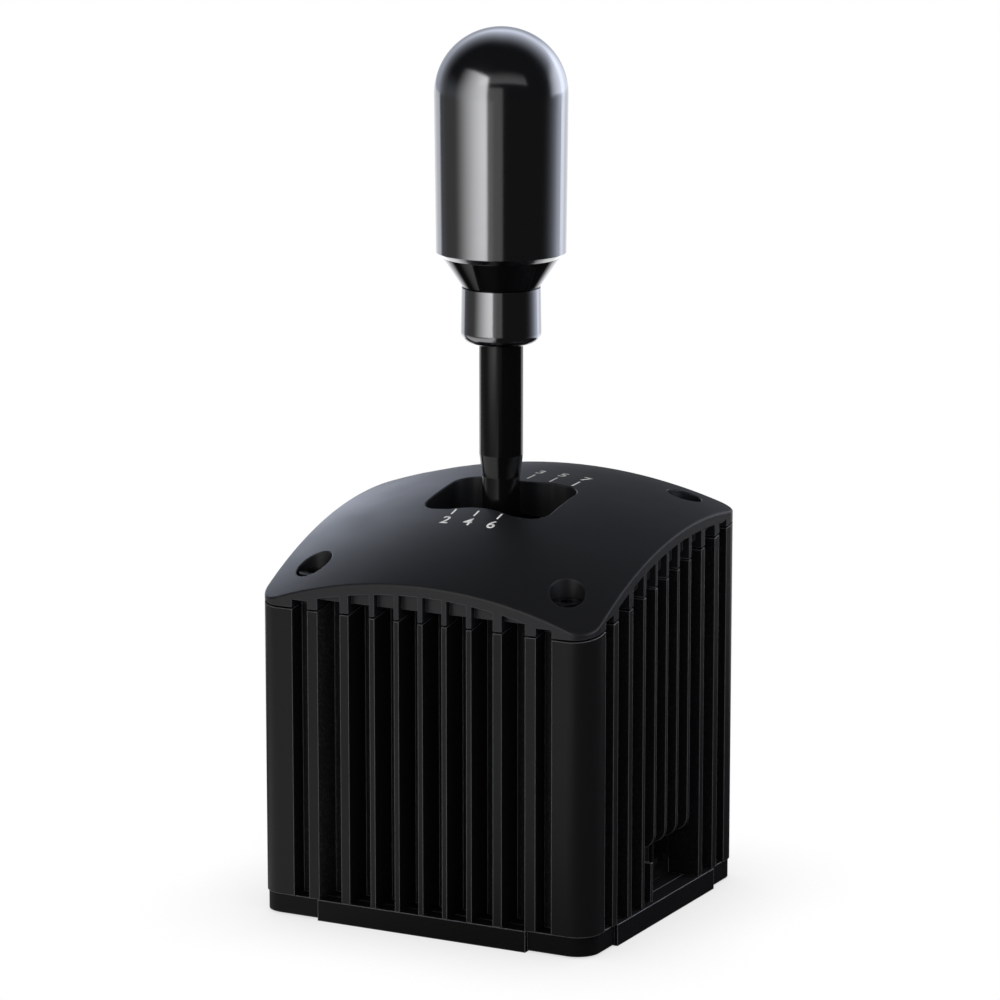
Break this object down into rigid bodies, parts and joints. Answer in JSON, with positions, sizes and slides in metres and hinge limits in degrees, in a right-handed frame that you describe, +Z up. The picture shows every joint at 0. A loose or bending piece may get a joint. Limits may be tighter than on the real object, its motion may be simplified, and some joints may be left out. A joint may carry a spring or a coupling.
{
  "type": "gear shifter",
  "caption": "H-pattern gear shifter for a racing rig: finned housing, domed cover with a waisted gate opening, and a tall lever with a long round-topped knob.",
  "frame": {"origin": "middle of the underside of the base, where it stands", "axes": "+Z up along the lever, +X to the driver's right along the front face, +Y to the rear"},
  "size_m": [0.121, 0.112, 0.2858],
  "materials": {
    "housing_black": "black anodised, bead blasted",
    "cover_black": "matte black, fine grain",
    "base_black": "textured black",
    "screw_black": "black oxide",
    "steel": "plain",
    "machined_aluminium": "machined",
    "bronze": "sintered",
    "stem_black": "satin black anodised",
    "dome_black": "plain",
    "knob_graphite": "satin graphite anodised",
    "cone_black": "gloss",
    "board_green": "solder mask",
    "chip_black": "moulded",
    "bright_metal": "plated"
  },
  "bodies": {
    "root": {"corner_posts": "housing_black", "panel_front": "housing_black", "panel_rear": "housing_black", "panel_left": "housing_black", "panel_right": "housing_black", "top_cover": "cover_black", "cover_screws": "screw_black", "base_plate": "base_black", "end_foot_rails": "base_black", "side_foot_rails": "base_black", "base_screws": "screw_black", "bracket_screws": "screw_black", "mount_inserts": "bronze", "pivot_bracket_front": "machined_aluminium", "pivot_bracket_rear": "machined_aluminium", "select_bush_front": "bronze", "select_bush_rear": "bronze", "gate_plate": "steel", "gate_standoffs": "steel", "gate_screws": "screw_black", "spring_posts": "steel", "centring_spring_left": "steel", "centring_spring_right": "steel", "main_board": "board_green", "board_standoffs": "bronze", "board_screws": "steel", "microcontroller": "chip_black", "data_socket": "chip_black", "usb_socket": "bright_metal", "select_hall_sensor": "chip_black", "select_sensor_board": "board_green", "select_sensor_standoffs": "bronze", "select_sensor_screws": "steel"},
    "yoke": {"select_yoke": "machined_aluminium", "trunnion_pin_front": "steel", "trunnion_pin_rear": "steel", "thrust_spacers": "bronze", "shift_bush_left": "bronze", "shift_bush_right": "bronze", "select_magnet": "bright_metal", "shift_hall_sensor": "chip_black", "shift_sensor_board": "board_green", "shift_sensor_standoffs": "bronze", "shift_sensor_screws": "steel"},
    "lever": {"lever_hub": "machined_aluminium", "hub_grub_screw": "screw_black", "shift_axle": "steel", "axle_circlips": "steel", "shift_magnet": "bright_metal", "lever_rod": "steel", "stem_sleeve": "stem_black", "tail_pin": "steel", "dust_dome": "dome_black", "dome_retainer": "machined_aluminium", "knob_collar": "knob_graphite", "lock_nut": "steel", "knob_cone": "cone_black", "knob_body": "knob_graphite", "knob_insert": "bronze"}
  },
  "joints": [
    {"name": "select", "type": "hinge", "parent": "root", "child": "yoke", "pos_m": [0, 0, 0.066], "axis": [0, 1, 0], "range_deg": [-12, 12], "stiffness_Nm_per_rad": 4, "deforming": ["centring_spring_left", "centring_spring_right"]},
    {"name": "shift", "type": "hinge", "parent": "yoke", "child": "lever", "pos_m": [0, 0, 0.066], "axis": [1, 0, 0], "range_deg": [-5, 5]}
  ]
}
